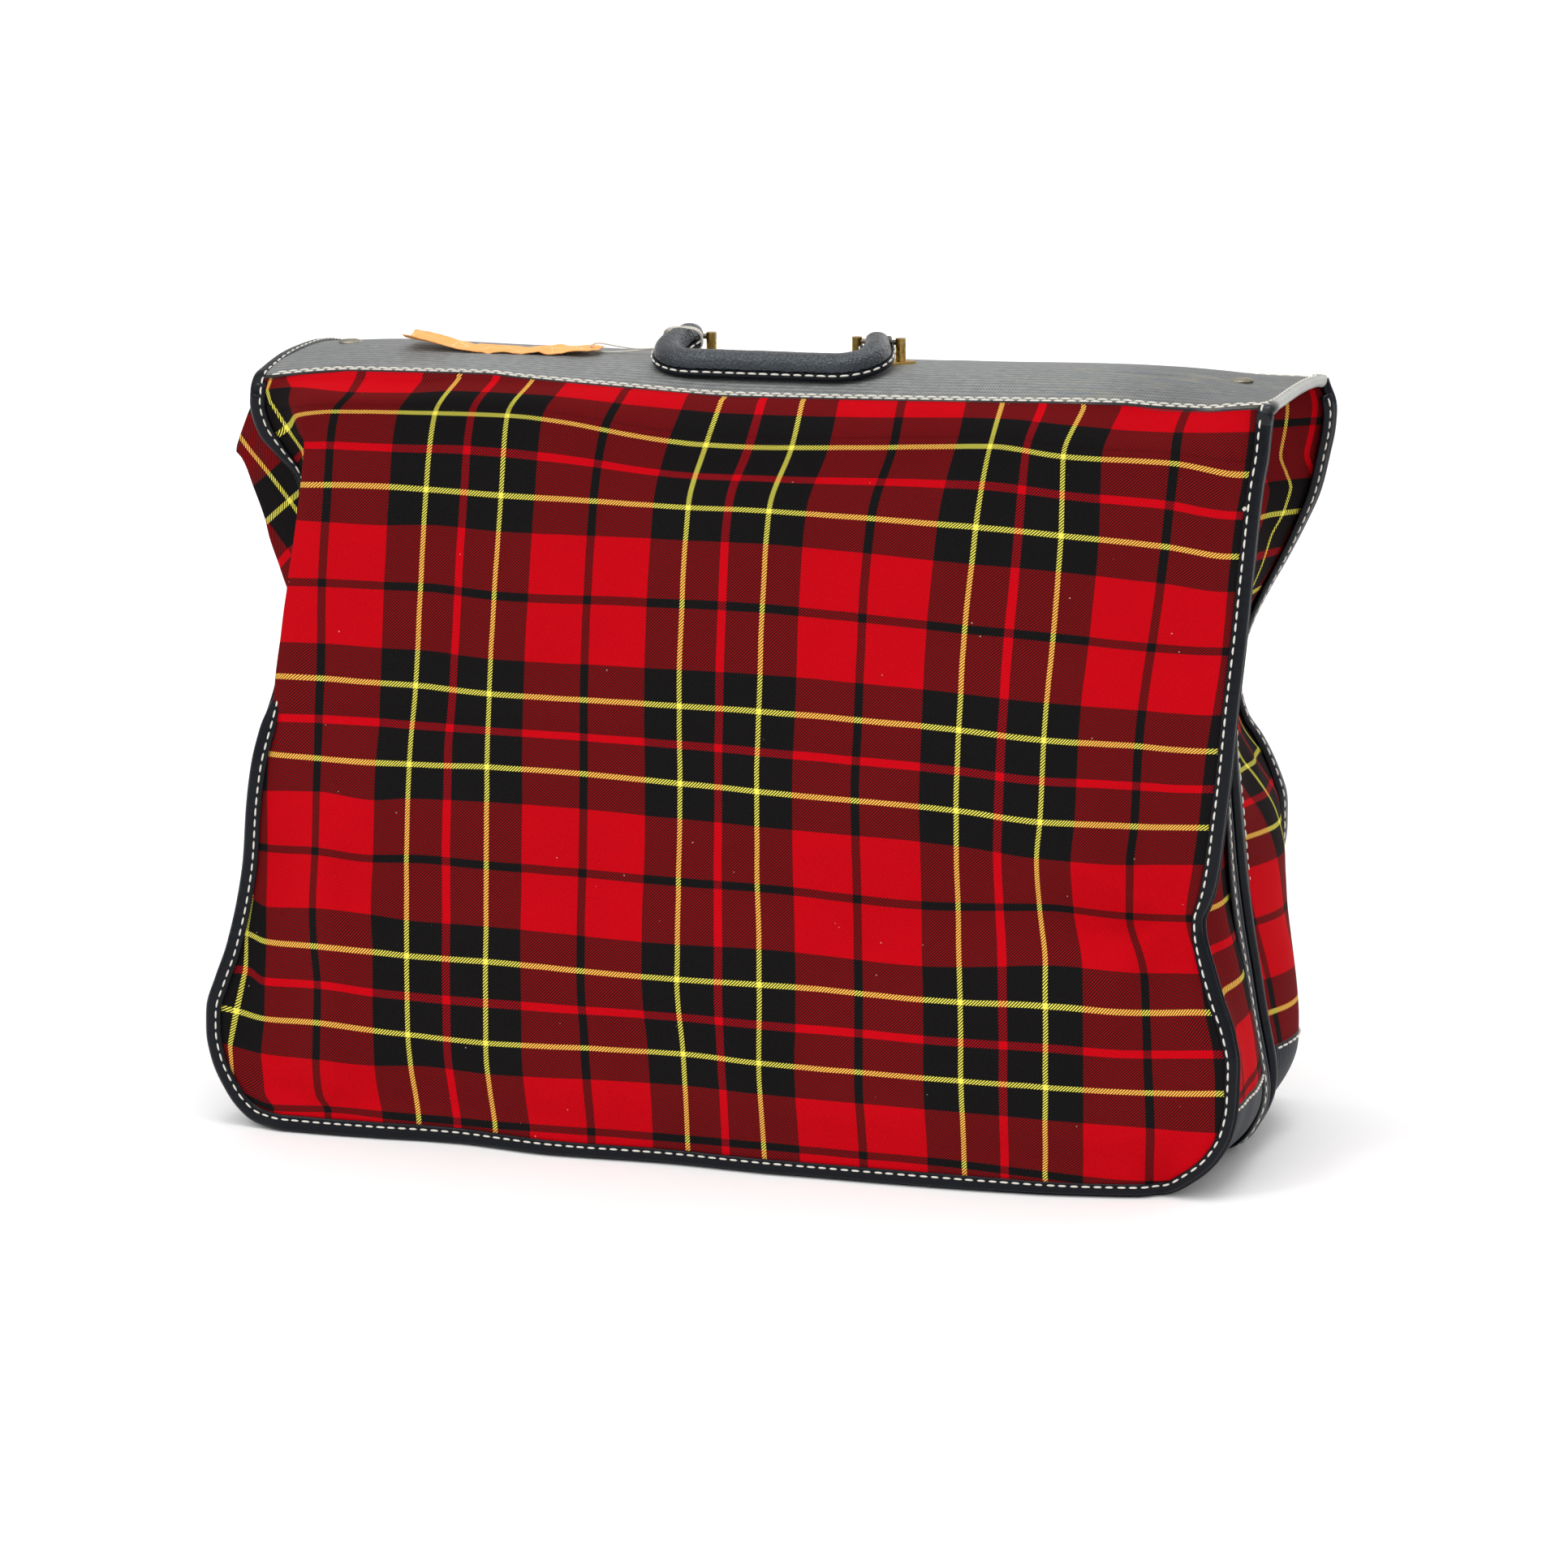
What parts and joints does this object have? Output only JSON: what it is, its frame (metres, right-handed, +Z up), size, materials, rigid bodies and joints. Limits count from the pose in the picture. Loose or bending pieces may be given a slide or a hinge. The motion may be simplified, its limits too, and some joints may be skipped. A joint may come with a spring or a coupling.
{
  "type": "fold-over soft suitcase",
  "caption": "Soft fold-over suitcase in red tartan, with zipped pockets hung from a stiff dark vinyl spine and a padded handle on brass brackets.",
  "frame": {"origin": "on the floor, under the middle of the closed case", "axes": "+X along the spine to the right, -Y out of the front panel, +Z up"},
  "size_m": [0.616, 0.2136, 0.4769],
  "materials": {
    "tartan": "dry wool-like twill, red and black tartan with thin yellow lines",
    "spine_vinyl": "embossed dark vinyl, satin, slightly worn",
    "binding_vinyl": "smooth glossy black vinyl piping with off-white stitches",
    "handle_leather": "navy-black grained cover, satin",
    "lining_cloth": "plain dark woven cloth",
    "fibreboard": "raw pressed board",
    "zip_tape": "woven tape with small brass teeth",
    "brass": "worn brass with darker patches",
    "aged_brass": "dull aged brass",
    "dark_steel": "dark worn steel",
    "steel": "plain sheet steel",
    "string": "twisted cotton string",
    "tag_card": "creased orange card, matte"
  },
  "bodies": {
    "spine": {"spine_cover": "spine_vinyl", "spine_board": "fibreboard", "spine_lining": "lining_cloth", "spine_stay": "steel", "spine_end_binding_left": "binding_vinyl", "spine_end_binding_right": "binding_vinyl", "bracket_plate_left": "brass", "bracket_plate_right": "brass", "bracket_posts_left": "brass", "bracket_posts_right": "brass", "pivot_pin_left": "dark_steel", "pivot_pin_right": "dark_steel", "post_washers": "steel", "end_studs": "aged_brass", "end_stud_washers": "steel"},
    "handle": {"handle_grip": "handle_leather", "handle_backing": "handle_leather", "handle_welt": "binding_vinyl", "handle_core": "steel", "tag_loop": "string"},
    "tag": {"luggage_tag": "tag_card", "tag_string": "string"},
    "front_shell": {"front_panel": "tartan", "front_gusset_left": "tartan", "front_gusset_right": "tartan", "front_base": "spine_vinyl", "front_base_corner_left": "spine_vinyl", "front_base_corner_right": "spine_vinyl", "front_outer_binding": "binding_vinyl", "front_inner_binding": "binding_vinyl", "front_zip_outer": "zip_tape"},
    "front_divider": {"front_inner_panel": "lining_cloth", "front_top_web": "lining_cloth", "front_zip_inner": "zip_tape"},
    "front_slider": {"front_zip_slider": "brass"},
    "front_pull": {"front_zip_pull": "brass"},
    "rear_shell": {"rear_panel": "tartan", "rear_gusset_left": "tartan", "rear_gusset_right": "tartan", "rear_base": "spine_vinyl", "rear_base_corner_left": "spine_vinyl", "rear_base_corner_right": "spine_vinyl", "rear_outer_binding": "binding_vinyl", "rear_inner_binding": "binding_vinyl", "rear_zip_outer": "zip_tape"},
    "rear_divider": {"rear_inner_panel": "lining_cloth", "rear_top_web": "lining_cloth", "rear_zip_inner": "zip_tape"},
    "rear_slider": {"rear_zip_slider": "brass"},
    "rear_pull": {"rear_zip_pull": "brass"}
  },
  "joints": [
    {"name": "front_unfold", "type": "hinge", "parent": "spine", "child": "front_divider", "pos_m": [0, -0.068, 0.446], "axis": [-1, 0, 0], "range_deg": [0, 90]},
    {"name": "front_open", "type": "hinge", "parent": "front_divider", "child": "front_shell", "pos_m": [0, -0.068, 0.446], "axis": [-1, 0, 0], "range_deg": [0, 60]},
    {"name": "rear_unfold", "type": "hinge", "parent": "spine", "child": "rear_divider", "pos_m": [0, 0.068, 0.446], "axis": [1, 0, 0], "range_deg": [0, 90]},
    {"name": "rear_open", "type": "hinge", "parent": "rear_divider", "child": "rear_shell", "pos_m": [0, 0.068, 0.446], "axis": [1, 0, 0], "range_deg": [0, 60]},
    {"name": "front_zip_slide", "type": "slide", "parent": "front_divider", "child": "front_slider", "axis": [-1, 0, 0], "range_m": [0, 0.48]},
    {"name": "rear_zip_slide", "type": "slide", "parent": "rear_divider", "child": "rear_slider", "axis": [-1, 0, 0], "range_m": [0, 0.48]},
    {"name": "front_pull_hang", "type": "hinge", "parent": "front_slider", "child": "front_pull", "pos_m": [0.24, -0.00335, 0.0201], "axis": [0, 0, -1], "range_deg": [0, 90]},
    {"name": "rear_pull_hang", "type": "hinge", "parent": "rear_slider", "child": "rear_pull", "pos_m": [0.24, 0.00335, 0.0201], "axis": [0, 0, 1], "range_deg": [0, 90]},
    {"name": "handle_fold", "type": "hinge", "parent": "spine", "child": "handle", "pos_m": [0, 0, 0.4695], "axis": [-1, 0, 0], "range_deg": [0, 198]},
    {"name": "tag_swing", "type": "hinge", "parent": "spine", "child": "tag", "pos_m": [-0.07, 0, 0.4595], "axis": [0, 0, 1], "range_deg": [-26, 14]}
  ],
  "couplings": [
    {"joint": "front_pull_hang", "follows": "front_unfold", "ratio": 1},
    {"joint": "rear_pull_hang", "follows": "rear_unfold", "ratio": 1}
  ]
}
